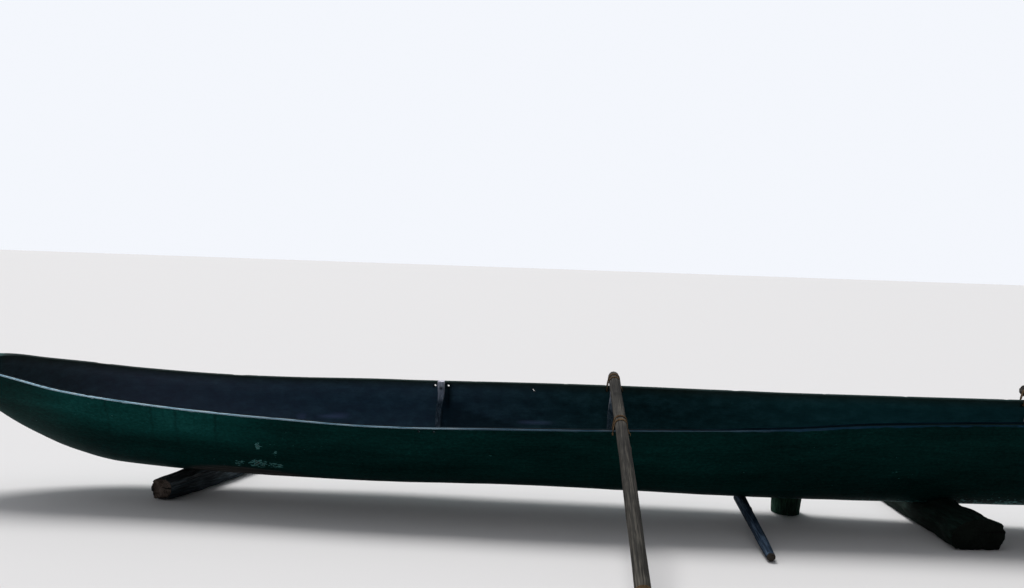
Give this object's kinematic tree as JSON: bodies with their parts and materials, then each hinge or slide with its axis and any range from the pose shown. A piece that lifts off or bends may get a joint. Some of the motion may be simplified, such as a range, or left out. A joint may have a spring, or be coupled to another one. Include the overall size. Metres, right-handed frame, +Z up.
{
  "type": "outrigger canoe",
  "caption": "Long dugout canoe with worn dark green paint, lashed booms and a float on one side, heeled on rough logs.",
  "frame": {"origin": "under the middle of the whole box, on the ground", "axes": "+X along the hull towards the bow, +Y away from the float, +Z up"},
  "size_m": [9, 2.9036, 0.8766],
  "materials": {
    "hull_wood": "hewn wood under worn dark green enamel, bare grey wood inside",
    "rib_wood": "bare grey weathered crook, sawn and adzed",
    "float_wood": "hewn light wood, weathered grey",
    "boom_wood": "peeled pole, weathered",
    "pole_wood": "peeled pole, grey and damp",
    "log_wood": "rough driftwood log with bark left in places",
    "cord": "plant fibre cord, dry and frayed"
  },
  "bodies": {
    "root": {"hull": "hull_wood", "rib_mid": "rib_wood", "rib_aft": "rib_wood", "rib_fore": "rib_wood", "float": "float_wood", "boom_aft": "boom_wood", "boom_fore": "boom_wood", "lashing_aft_near": "cord", "lashing_aft_far": "cord", "lashing_aft_float": "cord", "lashing_fore_near": "cord", "lashing_fore_far": "cord", "lashing_fore_float": "cord", "log_aft": "log_wood", "log_fore": "log_wood", "chock": "log_wood", "skid_pole": "pole_wood"}
  },
  "joints": []
}
